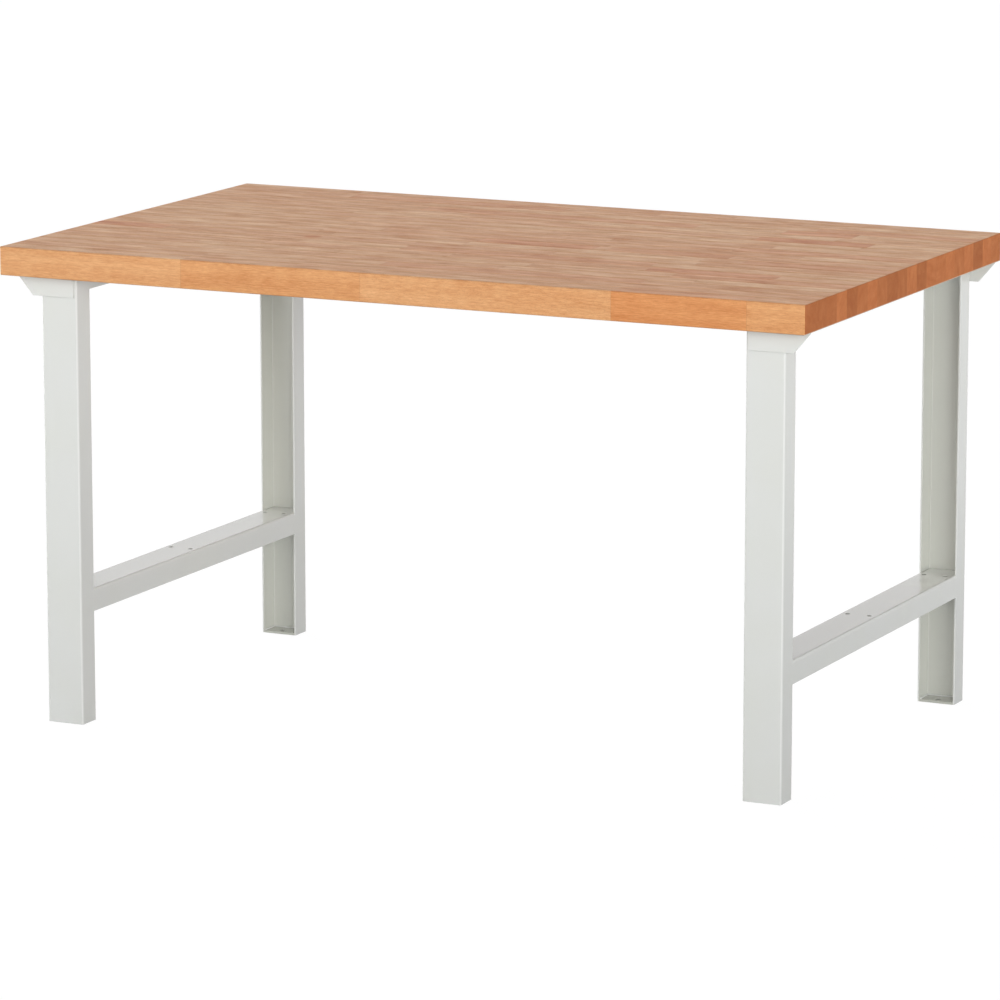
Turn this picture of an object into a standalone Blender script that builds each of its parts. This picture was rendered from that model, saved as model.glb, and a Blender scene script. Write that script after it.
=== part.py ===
"""Workbench: a glued beech block top on two welded steel channel frames.

Units are metres. X runs along the bench, Y from front to back, Z up. The origin
is on the floor, under the middle of the top.
"""

import math

import bmesh
import bpy

# Top
TOP_WIDTH = 1.500
TOP_DEPTH = 0.900
TOP_THICKNESS = 0.050
BENCH_HEIGHT = 0.840
STAVE_WIDTH = 0.045
GLUE_LINE = 0.0002
TOP_ARRIS = 0.0015

# Where the frames stand under the top, measured from its edges to the steel
OVERHANG_LEFT = 0.065
OVERHANG_RIGHT = 0.045
OVERHANG_FRONT = 0.028
OVERHANG_BACK = 0.028

# Folded steel sheet of the legs, rails and carriers
SHEET = 0.003
BEND_INSIDE = 0.002
BEND_STEPS = 6
LEG_WIDTH = 0.070
LEG_DEPTH = 0.045

# Side rail between the two legs of a frame
RAIL_TOP = 0.235
RAIL_HEIGHT = 0.040
RAIL_HOLE = 0.009
RAIL_HOLE_SPACING = 0.040
RAIL_END_HOLE_SETBACK = 0.015

# Carrier that the top lies on, an angle with one flange
CARRIER_HEIGHT = 0.025
CARRIER_HOLE = 0.0075

# Trapezoid wing plate across the head of each leg
WING_HEIGHT = 0.035
WING_REACH = 0.045
WING_FOOT = 0.015
WING_LAND = 0.002
WING_INNER_INSET = 0.005
WING_SHEET = 0.003

# Plate that closes the foot of each leg
FOOT_PLATE = 0.004
FOOT_CORNER = 0.003
FOOT_HOLE = 0.010
FOOT_HOLE_SETBACK = 0.013

# Wood screws that hold the top, driven up through the carriers
SCREW_SHANK = 0.006
SCREW_LENGTH = 0.035
SCREW_POINT = 0.006
SCREW_HEAD = 0.013
SCREW_HEAD_HEIGHT = 0.0040
SCREW_HEAD_RIM = 0.0013
SCREW_HEAD_CROWN = 0.0003
SCREW_SOCKET = 0.005
SCREW_SOCKET_DEPTH = 0.002
SCREW_STATIONS = (-0.34, -0.11, 0.11, 0.34)

# Clearance between pieces that touch, and round the screws
SEAT = 0.0003
HOLE_SIDES = 16

# Colours as linear red, green, blue
POWDER_COAT = (0.66, 0.67, 0.63)
ZINC = (0.60, 0.61, 0.60)
BEECH_SHADES = (
    (0.58, 0.29, 0.13),
    (0.66, 0.36, 0.17),
    (0.52, 0.25, 0.11),
    (0.62, 0.33, 0.16),
    (0.70, 0.40, 0.20),
)

# Levels and lines worked out from the sizes above
BEND_OUTSIDE = BEND_INSIDE + SHEET
UNDERSIDE = BENCH_HEIGHT - TOP_THICKNESS
FRAME_TOP = UNDERSIDE - SEAT
FRONT_WEB = -TOP_DEPTH / 2 + OVERHANG_FRONT
BACK_WEB = TOP_DEPTH / 2 - OVERHANG_BACK
FRONT_OPENING = FRONT_WEB + LEG_DEPTH
BACK_OPENING = BACK_WEB - LEG_DEPTH
FRAME_MIDDLE = (FRONT_WEB + BACK_WEB) / 2
LEFT_FRAME = -TOP_WIDTH / 2 + OVERHANG_LEFT + LEG_WIDTH / 2
RIGHT_FRAME = TOP_WIDTH / 2 - OVERHANG_RIGHT - LEG_WIDTH / 2
SCREW_SEAT = FRAME_TOP - SHEET - SEAT
SCREW_TIP = SCREW_SEAT + SCREW_LENGTH


def clear_scene():
    """Remove every object that the file already holds."""
    for thing in list(bpy.data.objects):
        bpy.data.objects.remove(thing)


def finish(name, colour, roughness, metallic):
    """Return a Principled material of one colour."""
    material = bpy.data.materials.new(name)
    material.use_nodes = True
    shader = material.node_tree.nodes["Principled BSDF"]
    shader.inputs["Base Color"].default_value = (*colour, 1.0)
    shader.inputs["Roughness"].default_value = roughness
    shader.inputs["Metallic"].default_value = metallic
    material.diffuse_color = (*colour, 1.0)
    return material


def coat(name):
    """Return the light grey powder coat for one steel piece."""
    return finish(f"{name}_coat", POWDER_COAT, 0.42, 0.0)


def add_object(name, bm, material, parent, location=(0, 0, 0), rotation=(0, 0, 0)):
    """Turn a bmesh into a named object under its group."""
    mesh = bpy.data.meshes.new(name)
    bmesh.ops.recalc_face_normals(bm, faces=bm.faces)
    bm.to_mesh(mesh)
    bm.free()
    mesh.materials.append(material)
    piece = bpy.data.objects.new(name, mesh)
    bpy.context.scene.collection.objects.link(piece)
    piece.parent = parent
    piece.location = location
    piece.rotation_euler = rotation
    return piece


def group(name):
    """Return an empty that the pieces of one sub-assembly hang under."""
    empty = bpy.data.objects.new(name, None)
    bpy.context.scene.collection.objects.link(empty)
    return empty


def extrude_faces(bm, faces, offset):
    """Push faces along an offset, with side walls behind them."""
    grown = bmesh.ops.extrude_face_region(bm, geom=faces)["geom"]
    verts = [item for item in grown if isinstance(item, bmesh.types.BMVert)]
    bmesh.ops.translate(bm, verts=verts, vec=offset)
    return [item for item in grown if isinstance(item, bmesh.types.BMFace)]


def bend(centre, radius, start):
    """Return the points of a quarter bend that turns anticlockwise from a start angle."""
    return [
        (
            centre[0] + radius * math.cos(start + math.pi / 2 * step / BEND_STEPS),
            centre[1] + radius * math.sin(start + math.pi / 2 * step / BEND_STEPS),
        )
        for step in range(BEND_STEPS + 1)
    ]


def channel_side(half_width, depth, radius, is_angle):
    """Return one skin of a folded channel, from flange edge round the web to flange edge.

    An angle has the first flange only, and its web runs flat to the other edge.
    """
    left = (-LEG_WIDTH / 2 + BEND_OUTSIDE, BEND_OUTSIDE)
    right = (LEG_WIDTH / 2 - BEND_OUTSIDE, BEND_OUTSIDE)
    points = [(-half_width, depth)]
    points += bend(left, radius, math.pi)
    if is_angle:
        level = BEND_OUTSIDE - radius
        return points + [(right[0], level), (LEG_WIDTH / 2, level)]
    points += bend(right, radius, math.pi * 1.5)
    points.append((half_width, depth))
    return points


def folded_channel(depth, length, tongue=0.0, is_angle=False):
    """Build a channel folded from sheet: web at Y = 0, flanges along +Y, length along Z.

    The web can run past both ends as a flat tongue, where the flanges are cut away.
    """
    outside = channel_side(LEG_WIDTH / 2, depth, BEND_OUTSIDE, is_angle)
    inside = channel_side(LEG_WIDTH / 2 - SHEET, depth, BEND_INSIDE, is_angle)
    bm = bmesh.new()
    outer = [bm.verts.new((x, y, 0)) for x, y in outside]
    inner = [bm.verts.new((x, y, 0)) for x, y in inside]
    start = [
        bm.faces.new((outer[i], outer[i + 1], inner[i + 1], inner[i]))
        for i in range(len(outer) - 1)
    ]
    web = BEND_STEPS + 1
    start_web = start[web]
    end = extrude_faces(bm, start, (0, 0, length))
    if tongue:
        end_web = min(end, key=lambda face: face.calc_center_median().xy.length)
        extrude_faces(bm, [start_web], (0, 0, -tongue))
        extrude_faces(bm, [end_web], (0, 0, tongue))
        bmesh.ops.delete(bm, geom=[start_web, end_web], context="FACES_ONLY")
    return bm


def add_block(bm, low, high):
    """Add a rectangular block between two corners."""
    for vert in bmesh.ops.create_cube(bm, size=1.0)["verts"]:
        for axis in range(3):
            vert.co[axis] = high[axis] if vert.co[axis] > 0 else low[axis]


def add_drill(bm, x, y, low, high, diameter):
    """Add a round prism that clears a hole of the given diameter."""
    radius = diameter / 2 / math.cos(math.pi / HOLE_SIDES)
    made = bmesh.ops.create_cone(
        bm,
        cap_ends=True,
        segments=HOLE_SIDES,
        radius1=radius,
        radius2=radius,
        depth=high - low,
    )["verts"]
    bmesh.ops.translate(bm, verts=made, vec=(x, y, (low + high) / 2))


def drill(name, pieces, holes):
    """Cut upright holes, each (x, y, low, high, diameter), out of the pieces."""
    bm = bmesh.new()
    for x, y, low, high, diameter in holes:
        add_drill(bm, x, y, low, high, diameter)
    cutter = add_object(name, bm, finish(name, ZINC, 0.5, 0.0), None)
    cutter.hide_render = True
    cutter.display_type = "WIRE"
    for piece in pieces:
        cut = piece.modifiers.new("holes", "BOOLEAN")
        cut.operation = "DIFFERENCE"
        cut.solver = "EXACT"
        cut.object = cutter


def stave_lines():
    """Return the front and back Y of each stave, with half a glue line off each side."""
    count = max(1, round(TOP_DEPTH / STAVE_WIDTH))
    pitch = TOP_DEPTH / count
    lines = []
    for index in range(count):
        front = -TOP_DEPTH / 2 + pitch * index
        back = front + pitch
        front += GLUE_LINE / 2 if index else 0
        back -= GLUE_LINE / 2 if index < count - 1 else 0
        lines.append((front, back))
    return lines


def is_rim(edge):
    """Tell whether an edge lies along the top's outer arrises."""
    low, high = (vert.co for vert in edge.verts)
    tolerance = TOP_ARRIS / 10
    on_end = all(abs(abs(co.x) - TOP_WIDTH / 2) < tolerance for co in (low, high))
    on_side = all(abs(abs(co.y) - TOP_DEPTH / 2) < tolerance for co in (low, high))
    is_level = abs(low.z - high.z) < tolerance
    return (on_end and is_level) or on_side


def build_staves(parent):
    """Build the staves that are glued edge to edge into the block top."""
    staves = []
    for index, (front, back) in enumerate(stave_lines()):
        bm = bmesh.new()
        add_block(
            bm,
            (-TOP_WIDTH / 2, front, UNDERSIDE),
            (TOP_WIDTH / 2, back, BENCH_HEIGHT),
        )
        rim = [edge for edge in bm.edges if is_rim(edge)]
        bmesh.ops.bevel(
            bm,
            geom=rim,
            offset=TOP_ARRIS,
            offset_type="OFFSET",
            segments=2,
            profile=0.5,
            affect="EDGES",
        )
        name = f"stave_{index + 1:02d}"
        shade = BEECH_SHADES[index * 3 % len(BEECH_SHADES)]
        beech = finish(f"{name}_beech", shade, 0.5, 0.0)
        staves.append(add_object(name, bm, beech, parent))
    return staves


def build_leg(name, x, is_front, parent):
    """Build one leg channel, which opens towards the other leg of its frame."""
    turn = 0.0 if is_front else math.pi
    web = FRONT_WEB if is_front else BACK_WEB
    bm = folded_channel(LEG_DEPTH, FRAME_TOP)
    return add_object(name, bm, coat(name), parent, (x, web, 0), (0, 0, turn))


def build_foot_plate(name, x, is_front, parent):
    """Build the plate let into the foot of a leg, with its corners round inside the bends."""
    inward = 1 if is_front else -1
    web = (FRONT_WEB if is_front else BACK_WEB) + inward * (SHEET + SEAT)
    opening = FRONT_OPENING if is_front else BACK_OPENING
    half = LEG_WIDTH / 2 - SHEET - SEAT
    bm = bmesh.new()
    add_block(
        bm,
        (x - half, min(web, opening), 0),
        (x + half, max(web, opening), FOOT_PLATE),
    )
    corners = [
        edge
        for edge in bm.edges
        if all(abs(vert.co.y - web) < SEAT / 10 for vert in edge.verts)
        and abs(edge.verts[0].co.z - edge.verts[1].co.z) > FOOT_PLATE / 2
    ]
    bmesh.ops.bevel(
        bm,
        geom=corners,
        offset=FOOT_CORNER,
        offset_type="OFFSET",
        segments=3,
        profile=0.5,
        affect="EDGES",
    )
    plate = add_object(name, bm, coat(name), parent)
    hole_y = opening - inward * FOOT_HOLE_SETBACK
    drill(
        f"{name}_drill",
        [plate],
        [(x, hole_y, -FOOT_PLATE, 2 * FOOT_PLATE, FOOT_HOLE)],
    )


def cross_channel(name, x, top, height, parent, flange_side=0):
    """Build a channel across a frame, open side down, seated in both legs.

    Its flanges stop at the legs' flange edges. Its web runs on between them to the webs.
    A flange side of 1 or -1 makes it an angle with its flange towards +X or -X.
    """
    start = FRONT_OPENING + SEAT
    length = BACK_OPENING - SEAT - start
    tongue = LEG_DEPTH - SHEET - 2 * SEAT
    bm = folded_channel(height, length, tongue, is_angle=flange_side != 0)
    if flange_side > 0:
        return add_object(
            name,
            bm,
            coat(name),
            parent,
            (x, start + length, top),
            (-math.pi / 2, 0, math.pi),
        )
    return add_object(
        name,
        bm,
        coat(name),
        parent,
        (x, start, top),
        (-math.pi / 2, 0, 0),
    )


def build_rail(name, x, parent):
    """Build the low side rail with its three pairs of accessory holes."""
    rail = cross_channel(name, x, RAIL_TOP, RAIL_HEIGHT, parent)
    rows = (
        FRONT_OPENING + RAIL_END_HOLE_SETBACK,
        FRAME_MIDDLE,
        BACK_OPENING - RAIL_END_HOLE_SETBACK,
    )
    low = RAIL_TOP - 2 * SHEET
    high = RAIL_TOP + SHEET
    holes = [
        (x + side * RAIL_HOLE_SPACING / 2, row, low, high, RAIL_HOLE)
        for row in rows
        for side in (-1, 1)
    ]
    drill(f"{name}_drill", [rail], holes)


def screw_lines():
    """Return the Y of each screw, in the middle of the stave nearest to its station."""
    middles = [(front + back) / 2 for front, back in stave_lines()]
    lines = {
        min(middles, key=lambda middle: abs(middle - station))
        for station in SCREW_STATIONS
    }
    return sorted(lines)


def build_carrier(name, x, outward, parent):
    """Build the angle that the top lies on, flange to the inner side, drilled for the screws."""
    carrier = cross_channel(name, x, FRAME_TOP, CARRIER_HEIGHT, parent, -outward)
    low = FRAME_TOP - 2 * SHEET
    high = FRAME_TOP + SHEET
    holes = [(x, line, low, high, CARRIER_HOLE) for line in screw_lines()]
    drill(f"{name}_drill", [carrier], holes)


def build_wing(name, x, outward, is_front, parent):
    """Build the trapezoid plate welded across a leg's head, reaching out under the top.

    Its inner end stops where the leg's bend starts.
    """
    inner = x - outward * (LEG_WIDTH / 2 - WING_INNER_INSET)
    outer = x + outward * LEG_WIDTH / 2
    outline = (
        (inner, FRAME_TOP),
        (inner, FRAME_TOP - WING_HEIGHT),
        (outer + outward * WING_FOOT, FRAME_TOP - WING_HEIGHT),
        (outer + outward * WING_REACH, FRAME_TOP - WING_LAND),
        (outer + outward * WING_REACH, FRAME_TOP),
    )
    away = -1 if is_front else 1
    face = (FRONT_WEB if is_front else BACK_WEB) + away * SEAT
    bm = bmesh.new()
    plate = bm.faces.new([bm.verts.new((px, face, pz)) for px, pz in outline])
    extrude_faces(bm, [plate], (0, away * WING_SHEET, 0))
    return add_object(name, bm, coat(name), parent)


def build_screw(name, x, y, parent):
    """Turn one wood screw: socket head below the carrier, shank up into the top."""
    head = SCREW_HEAD / 2
    shank = SCREW_SHANK / 2
    socket = SCREW_SOCKET / 2
    low = SCREW_SEAT - SCREW_HEAD_HEIGHT
    outline = (
        (0, SCREW_TIP),
        (shank, SCREW_TIP - SCREW_POINT),
        (shank, SCREW_SEAT),
        (head, SCREW_SEAT),
        (head, SCREW_SEAT - SCREW_HEAD_RIM),
        ((head + socket) / 2, low + SCREW_HEAD_CROWN),
        (socket, low),
        (socket, low + SCREW_SOCKET_DEPTH),
        (0, low + SCREW_SOCKET_DEPTH),
    )
    bm = bmesh.new()
    verts = [bm.verts.new((radius, 0, z)) for radius, z in outline]
    edges = [bm.edges.new(pair) for pair in zip(verts, verts[1:])]
    bmesh.ops.spin(
        bm,
        geom=verts + edges,
        cent=(0, 0, 0),
        axis=(0, 0, 1),
        angle=2 * math.pi,
        steps=HOLE_SIDES,
    )
    bmesh.ops.remove_doubles(bm, verts=bm.verts, dist=1e-6)
    screw = add_object(name, bm, finish(f"{name}_zinc", ZINC, 0.35, 1.0), parent, (x, y, 0))
    screw.data.shade_smooth()
    screw.data.set_sharp_from_angle(angle=math.radians(35))
    return screw


def build_frame(side, x, outward):
    """Build one welded frame: two legs, their foot plates and wings, rail and carrier."""
    frame = group(f"{side}_frame")
    for place, is_front in (("front", True), ("back", False)):
        build_leg(f"{side}_{place}_leg", x, is_front, frame)
        build_foot_plate(f"{side}_{place}_foot_plate", x, is_front, frame)
        build_wing(f"{side}_{place}_wing_plate", x, outward, is_front, frame)
    build_rail(f"{side}_rail", x, frame)
    build_carrier(f"{side}_carrier", x, outward, frame)


def build_bench():
    """Build the top, the two frames and the screws between them."""
    clear_scene()
    top = group("top")
    staves = build_staves(top)
    frames = (("left", LEFT_FRAME, -1), ("right", RIGHT_FRAME, 1))
    for side, x, outward in frames:
        build_frame(side, x, outward)
    screws = group("screws")
    pilots = []
    pilot = SCREW_SHANK + 2 * SEAT
    for side, x, _ in frames:
        for number, y in enumerate(screw_lines()):
            build_screw(f"{side}_top_screw_{number + 1}", x, y, screws)
            pilots.append((x, y, UNDERSIDE - SHEET, SCREW_TIP + SEAT, pilot))
    drilled = [
        stave
        for stave, (front, back) in zip(staves, stave_lines())
        if any(front < y < back for y in screw_lines())
    ]
    drill("pilot_drill", drilled, pilots)


build_bench()
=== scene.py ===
"""Looks of the workbench: a glued beech block top on two powder-coated steel frames.

Units are metres, X along the bench, Y from front to back, Z up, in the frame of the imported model.
Every piece is modelled from a primitive, laid where its node of the frame lies, and dressed with
a procedural finish. The studio at the end holds the floor, the lamps and the camera.
"""

import logging
import math
import random
from collections.abc import Callable, Iterable, Iterator
from contextlib import contextmanager
from dataclasses import dataclass, field
from enum import Enum
from functools import partialmethod

import bmesh
import bpy
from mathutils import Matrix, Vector


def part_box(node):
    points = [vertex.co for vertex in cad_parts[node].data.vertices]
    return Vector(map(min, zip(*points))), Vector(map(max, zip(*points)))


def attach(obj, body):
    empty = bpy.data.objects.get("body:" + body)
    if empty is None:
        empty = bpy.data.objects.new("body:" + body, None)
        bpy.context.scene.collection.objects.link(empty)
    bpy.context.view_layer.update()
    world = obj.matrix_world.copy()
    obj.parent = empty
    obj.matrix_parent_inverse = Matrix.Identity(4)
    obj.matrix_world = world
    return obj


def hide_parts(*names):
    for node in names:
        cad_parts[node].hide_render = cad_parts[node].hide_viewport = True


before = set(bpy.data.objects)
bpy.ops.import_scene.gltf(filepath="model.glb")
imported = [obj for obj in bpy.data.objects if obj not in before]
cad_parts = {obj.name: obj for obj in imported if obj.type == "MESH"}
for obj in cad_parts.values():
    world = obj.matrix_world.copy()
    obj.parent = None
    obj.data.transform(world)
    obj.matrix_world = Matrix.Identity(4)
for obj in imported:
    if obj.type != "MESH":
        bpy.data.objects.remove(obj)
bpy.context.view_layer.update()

log = logging.getLogger("workbench")

Colour = tuple[float, float, float]
Place = tuple[float, float, float]

# Share of a soak of oil by which it deepens red, green and blue
SOAK = (0.35, 1.0, 1.7)

BODY = "root"

# Clearance that the frame keeps between pieces which touch on the real bench
SEAT = 0.0003
# Least turn between two faces whose edge is hard
HARD_EDGE = math.radians(35)
HOLE_SIDES = 32
# How near two places lie that count as one
TOUCH = 1e-5
# Place of a joint or glue line that isn't there
NOWHERE = 9.0


class Slot(Enum):
    """Material slots of the record."""

    BEECH = "beech"
    POWDER_COAT = "powder_coat"
    ZINC = "zinc"


class Way(Enum):
    """A way out from the middle of the bench, written in the frame's nodes as a word."""

    @property
    def label(self) -> str:
        """Return its word."""
        return self.name.lower()


class Side(Way):
    """The two frames."""

    LEFT = -1
    RIGHT = 1


class End(Way):
    """The two legs of a frame."""

    FRONT = -1
    BACK = 1


def middle(corners: Iterable[Vector]) -> Vector:
    """Return the point halfway between two corners."""
    return sum(corners, Vector()) / 2


class Workpiece:
    """One mesh under the tools: started from a primitive, shaped in edit mode, then finished."""

    def __init__(self, thing: bpy.types.Object, name: str) -> None:
        """Take over an object.

        Args:
            thing: The object to shape.
            name: Its name, which its mesh gets too.
        """
        self.thing = thing
        thing.name = name
        thing.data.name = name

    @classmethod
    def started(
        cls, name: str, add: Callable[..., set[str]], scale: Iterable[float] = (1, 1, 1), **settings: object
    ) -> "Workpiece":
        """Start a piece from a primitive, with its place, turn and scale in its mesh.

        Args:
            name: Name of the piece.
            add: The operator that adds the primitive.
            scale: How it is stretched.
            **settings: The operator's settings.

        Returns:
            The new piece.
        """
        bpy.ops.object.select_all(action="DESELECT")
        add(**settings)
        piece = cls(bpy.context.object, name)
        piece.thing.scale = scale
        piece.settle()
        return piece

    @classmethod
    def block(cls, name: str, low: Vector, high: Vector) -> "Workpiece":
        """Add a rectangular block between two corners."""
        settings = {"size": 1, "location": middle((low, high))}
        return cls.started(name, bpy.ops.mesh.primitive_cube_add, high - low, **settings)

    @classmethod
    def sheet(cls, name: str, centre: Vector, width: float, length: float, tilt: float) -> "Workpiece":
        """Add a flat sheet without thickness, turned about the X axis from one that faces up."""
        settings = {"size": 1, "location": centre, "rotation": (tilt, 0, 0)}
        return cls.started(name, bpy.ops.mesh.primitive_plane_add, (width, length, 1), **settings)

    @classmethod
    def rod(cls, name: str, start: Vector, end: Vector, radius: float, sides: int) -> "Workpiece":
        """Add a round rod between the middles of its two ends."""
        run = end - start
        return cls.started(
            name,
            bpy.ops.mesh.primitive_cylinder_add,
            vertices=sides,
            radius=radius,
            depth=run.length,
            location=middle((start, end)),
            rotation=run.to_track_quat("Z", "Y").to_euler(),
        )

    def activate(self) -> None:
        """Make this the only selected object and the active one."""
        bpy.ops.object.select_all(action="DESELECT")
        self.thing.select_set(True)
        bpy.context.view_layer.objects.active = self.thing

    def settle(self) -> None:
        """Put the place, turn and scale of the object into its mesh."""
        self.activate()
        bpy.ops.object.transform_apply(location=True, rotation=True, scale=True)

    @contextmanager
    def shaping(self, mode: str) -> Iterator[None]:
        """Open the mesh in edit mode with nothing selected, and close it after the block.

        Args:
            mode: What is selected: VERT, EDGE or FACE.
        """
        self.activate()
        bpy.ops.object.mode_set(mode="EDIT")
        bpy.ops.mesh.select_mode(type=mode)
        bpy.ops.mesh.select_all(action="DESELECT")
        yield
        bpy.ops.object.mode_set(mode="OBJECT")

    def pick_points(self, test: Callable[[Vector], bool]) -> None:
        """Select the vertices whose place passes a test, and drop all others."""
        bpy.ops.mesh.select_all(action="DESELECT")
        mesh = bmesh.from_edit_mesh(self.thing.data)
        for vert in mesh.verts:
            vert.select_set(test(vert.co))
        mesh.select_flush(True)
        bmesh.update_edit_mesh(self.thing.data)

    def pick_edges(self, test: Callable[[Vector, Vector], bool]) -> None:
        """Select the edges whose two ends pass a test, and drop all others."""
        bpy.ops.mesh.select_all(action="DESELECT")
        mesh = bmesh.from_edit_mesh(self.thing.data)
        for edge in mesh.edges:
            if test(edge.verts[0].co, edge.verts[1].co):
                edge.select_set(True)
        bmesh.update_edit_mesh(self.thing.data)

    def extrude(self, offset: Place) -> None:
        """Pull new faces out of the selection, along an offset."""
        bpy.ops.mesh.extrude_region_move(TRANSFORM_OT_translate={"value": offset})

    def bisect(self, point: Vector, normal: Vector, cut_off: bool = False) -> None:
        """Cut the whole mesh along a plane.

        Args:
            point: A point on the plane.
            normal: The plane's normal.
            cut_off: Whether what lies on the normal's side is taken off and the cut closed.
        """
        bpy.ops.mesh.select_all(action="SELECT")
        bpy.ops.mesh.bisect(plane_co=point, plane_no=normal, use_fill=cut_off, clear_outer=cut_off)

    def apply(self, kind: str, **settings: object) -> None:
        """Add a modifier and apply it.

        Args:
            kind: The modifier's type.
            **settings: Its settings by name.
        """
        modifier = self.thing.modifiers.new(kind.lower(), kind)
        for key, value in settings.items():
            setattr(modifier, key, value)
        self.activate()
        bpy.ops.object.modifier_apply(modifier=modifier.name)

    def cut_out(self, cutter: "Workpiece") -> None:
        """Take away what another piece fills, and use that piece up."""
        self.apply("BOOLEAN", operation="DIFFERENCE", solver="EXACT", object=cutter.thing)
        bpy.data.objects.remove(cutter.thing)

    def drill(
        self, places: list[Vector], diameter: float, depth: float, edge: float, plate: bool = False
    ) -> None:
        """Drill upright round holes, round all edges, and mark the holes' walls for painted shade.

        Args:
            places: Middle of each hole.
            diameter: Its diameter.
            depth: Length of the drill, half of it above the middle.
            edge: Width of the rounding of the edges.
            plate: Whether the piece is a foot plate, painted with shade all over.
        """
        reach = Vector((0, 0, depth / 2))
        for place in places:
            self.cut_out(Workpiece.rod("drill_bit", place - reach, place + reach, diameter / 2, HOLE_SIDES))
        self.round_edges(edge)
        # A little over the radius, so that the upright facets of a rounded rim count as wall
        reached = diameter * 0.54

        def cover(face: bpy.types.MeshPolygon) -> Place:
            """Mark the upright faces round a hole, and all faces of a plate, for painted shade."""
            away = min((face.center.xy - place.xy).length for place in places)
            return (float(away < reached and abs(face.normal.z) < 0.5), 0.0, float(plate))

        self.store(PAINTED_SHADE, cover)

    def store(self, name: str, value: Callable[[bpy.types.MeshPolygon], Place]) -> None:
        """Store a vector on every face.

        Args:
            name: Name of the attribute.
            value: Gives the vector of a face.
        """
        faces = self.thing.data.polygons
        layer = self.thing.data.attributes.new(name, "FLOAT_VECTOR", "FACE")
        layer.data.foreach_set("vector", [part for face in faces for part in value(face)])

    def round_edges(self, radius: float, segments: int = 3) -> None:
        """Round every sharp edge, and even out the shading of the flat faces beside it."""
        self.apply(
            "BEVEL",
            width=radius,
            segments=segments,
            limit_method="ANGLE",
            angle_limit=HARD_EDGE,
            miter_outer="MITER_ARC",
        )
        self.smooth()

    def smooth(self) -> None:
        """Shade the piece smooth up to its hard edges, with normals that favour its large faces."""
        self.soften(HARD_EDGE)
        self.apply("WEIGHTED_NORMAL", weight=100, keep_sharp=True)

    def soften(self, angle: float) -> None:
        """Shade the piece smooth, but for edges that turn more than an angle."""
        self.activate()
        bpy.ops.object.shade_smooth_by_angle(angle=angle)

    def face_out(self) -> None:
        """Turn all faces outwards."""
        with self.shaping("FACE"):
            bpy.ops.mesh.select_all(action="SELECT")
            bpy.ops.mesh.normals_make_consistent(inside=False)

    def copy(self, name: str, offset: Vector, about: Vector | None = None) -> "Workpiece":
        """Make a copy with its own mesh.

        Args:
            name: Name of the copy.
            offset: How far it is moved.
            about: A point, if the copy is first turned half round on an upright axis there.

        Returns:
            The copy, with its place in its mesh.
        """
        twin = self.thing.copy()
        twin.data = self.thing.data.copy()
        bpy.context.scene.collection.objects.link(twin)
        if about is not None:
            twin.rotation_euler = (0, 0, math.pi)
            offset = offset + Vector((2 * about.x, 2 * about.y, 0))
        twin.location = offset
        piece = Workpiece(twin, name)
        piece.settle()
        return piece

    def join(self, others: Iterable["Workpiece"]) -> None:
        """Take other pieces into this one, each as its own closed shell."""
        self.activate()
        for other in others:
            other.thing.select_set(True)
        bpy.ops.object.join()

    def hand_over(self, finish: bpy.types.Material, slot: Slot, *nodes: str) -> None:
        """Dress the finished piece and enter it in the frame.

        Args:
            finish: Its material.
            slot: The record's slot that its finish belongs to.
            *nodes: The nodes that it stands for.
        """
        self.thing.data.materials.clear()
        self.thing.data.materials.append(finish)
        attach(self.thing, BODY)
        if nodes:
            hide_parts(*nodes)
        log.info("%s: %d faces, %s", self.thing.name, len(self.thing.data.polygons), slot.value)


class Flow:
    """A shader value that takes part in Python arithmetic. Each operator adds its Math node."""

    def __init__(self, graph: "Graph", socket: bpy.types.NodeSocket) -> None:
        """Wrap an output socket of a graph."""
        self.graph = graph
        self.socket = socket

    def maths(self, operation: str, *others: "Flow | float") -> "Flow":
        """Return the result of a Math node that takes this value and others, in this order."""
        values = dict(enumerate((self, *others)))
        return self.graph.result("ShaderNodeMath", {"operation": operation}, values)

    __add__ = __radd__ = partialmethod(maths, "ADD")
    __sub__ = partialmethod(maths, "SUBTRACT")
    __mul__ = __rmul__ = partialmethod(maths, "MULTIPLY")
    __truediv__ = partialmethod(maths, "DIVIDE")
    __pow__ = partialmethod(maths, "POWER")
    __abs__ = partialmethod(maths, "ABSOLUTE")
    least = partialmethod(maths, "MINIMUM")
    most = partialmethod(maths, "MAXIMUM")

    def __rsub__(self, other: float) -> "Flow":
        """Difference from a number."""
        return self.graph.result("ShaderNodeMath", {"operation": "SUBTRACT"}, {0: other, 1: self})

    def step(self, low: float, high: float) -> "Flow":
        """Rise smoothly from 0 at a low value to 1 at a high one, and stay there beyond them."""
        return self.graph.result(
            "ShaderNodeMapRange",
            {"interpolation_type": "SMOOTHSTEP", "clamp": True},
            {"Value": self, "From Min": low, "From Max": high},
        )


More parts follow.
